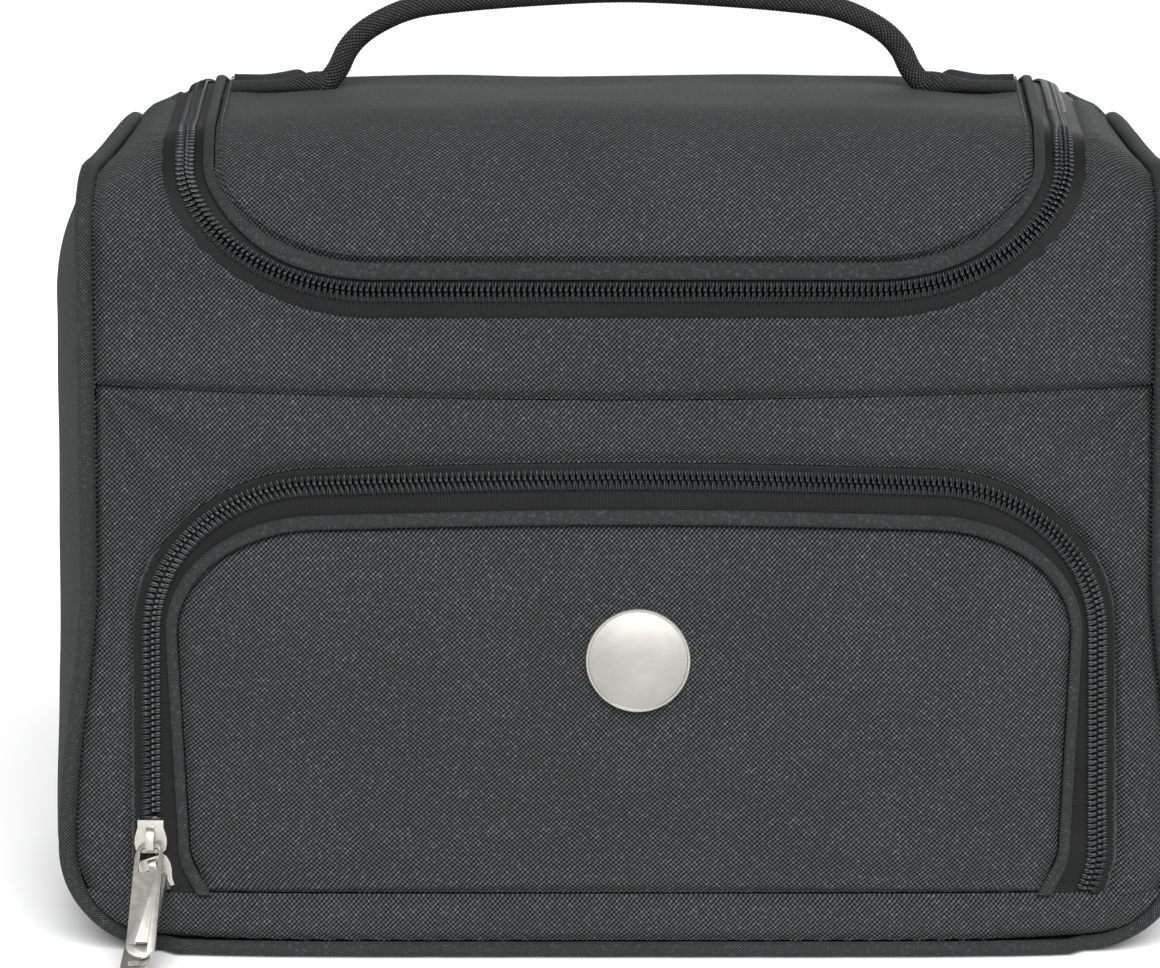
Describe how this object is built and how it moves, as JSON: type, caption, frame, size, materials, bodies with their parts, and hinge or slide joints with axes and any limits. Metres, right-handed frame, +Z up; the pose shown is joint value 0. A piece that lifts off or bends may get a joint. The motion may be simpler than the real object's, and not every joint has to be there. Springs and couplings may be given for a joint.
{
  "type": "vanity case",
  "caption": "Soft-sided vanity case with a zipped hinged lid, a corded carrying handle, a zipped front pocket, corded edges and a plain round medallion.",
  "frame": {"origin": "middle of the base's flat underside", "axes": "+X along the width to the right seen from the front, -Y out of the front with the pocket, +Z up to the lid and handle"},
  "size_m": [0.352, 0.216, 0.2901],
  "materials": {
    "cloth": "woven polyester, matte with a fine sheen",
    "lining": "smooth taffeta",
    "tape": "woven zip tape and webbing",
    "binding": "smooth grosgrain over cord",
    "coil": "glossy moulded nylon coil",
    "board": "stiff fibre board, hidden",
    "handle_rope": "ribbed woven tube over rope",
    "nickel": "polished light nickel",
    "satin_nickel": "satin brushed disc"
  },
  "bodies": {
    "case": {"front_base_strip": "cloth", "front_frame_panel": "cloth", "yoke_panel": "cloth", "back_panel": "cloth", "side_panel_left": "cloth", "side_panel_right": "cloth", "base_panel": "cloth", "pocket_back_wall": "lining", "case_lining": "lining", "pocket_tape_outer": "tape", "pocket_tape_tail": "tape", "lid_tape_outer": "tape", "lid_tape_tail_left": "tape", "lid_tape_tail_right": "tape", "lid_hinge_fold": "binding", "edge_cord": "binding", "pocket_coil_outer": "coil", "pocket_coil_tail": "coil", "pocket_coil_stub": "coil", "lid_coil_outer": "coil", "lid_coil_tail_left": "coil", "lid_coil_tail_right": "coil", "base_board": "board", "pocket_slider_lower": "nickel", "lid_slider_inner": "nickel"},
    "pocket_flap": {"pocket_flap_panel": "cloth", "pocket_flap_lining": "lining", "pocket_tape_inner": "tape", "pocket_coil_inner": "coil", "pocket_bead": "binding", "medallion": "satin_nickel"},
    "lid": {"lid_panel": "cloth", "lid_lining": "lining", "lid_tape_inner": "tape", "lid_coil_inner": "coil", "lid_binding": "binding", "handle_run_left": "handle_rope", "handle_run_right": "handle_rope", "handle_tab_left": "tape", "handle_tab_right": "tape"},
    "handle": {"handle_arch": "handle_rope"},
    "upper_slider": {"pocket_slider_upper": "nickel"},
    "upper_pull": {"pocket_pull_upper": "nickel"},
    "lower_pull": {"pocket_pull_lower": "nickel"},
    "lid_slider": {"lid_slider_outer": "nickel"},
    "lid_pull": {"lid_pull_outer": "nickel"},
    "lid_end_pull": {"lid_pull_inner": "nickel"}
  },
  "joints": [
    {"name": "lid_hinge", "type": "hinge", "parent": "case", "child": "lid", "pos_m": [0, 0.0546, 0.24959], "axis": [-1, 0, 0], "range_deg": [0, 115]},
    {"name": "pocket_flap_hinge", "type": "hinge", "parent": "case", "child": "pocket_flap", "pos_m": [0, -0.0896, 0.0193], "axis": [1, 0, 0], "range_deg": [0, 75]},
    {"name": "handle_fold", "type": "hinge", "parent": "lid", "child": "handle", "pos_m": [0, 0.008, 0.25768], "axis": [1, 0, 0], "range_deg": [-70, 70]},
    {"name": "upper_slider_run", "type": "slide", "parent": "case", "child": "upper_slider", "axis": [0.0112, -0.0125, 0.9999], "range_m": [0, 0.024], "deforming": ["pocket_coil_outer", "pocket_coil_inner", "pocket_coil_tail"]},
    {"name": "upper_pull_swing", "type": "hinge", "parent": "upper_slider", "child": "upper_pull", "pos_m": [-0.14327, -0.09119, 0.03394], "axis": [1, 0, -0.0061], "range_deg": [-120, 0]},
    {"name": "lower_pull_swing", "type": "hinge", "parent": "case", "child": "lower_pull", "pos_m": [-0.1418, -0.09107, 0.02601], "axis": [0.949, 0, 0.3153], "range_deg": [0, 40]},
    {"name": "lid_slider_run", "type": "slide", "parent": "case", "child": "lid_slider", "axis": [0.9996, 0, -0.0279], "range_m": [0, 0.018], "deforming": ["lid_coil_outer", "lid_coil_tail_right"]},
    {"name": "lid_pull_swing", "type": "hinge", "parent": "lid_slider", "child": "lid_pull", "pos_m": [0.08414, 0.06358, 0.24759], "axis": [0.0152, -0.8391, 0.5438], "range_deg": [0, 88]},
    {"name": "lid_end_pull_swing", "type": "hinge", "parent": "case", "child": "lid_end_pull", "pos_m": [0.07526, 0.06358, 0.24777], "axis": [-0.0065, 0.8392, -0.5438], "range_deg": [0, 88]}
  ]
}
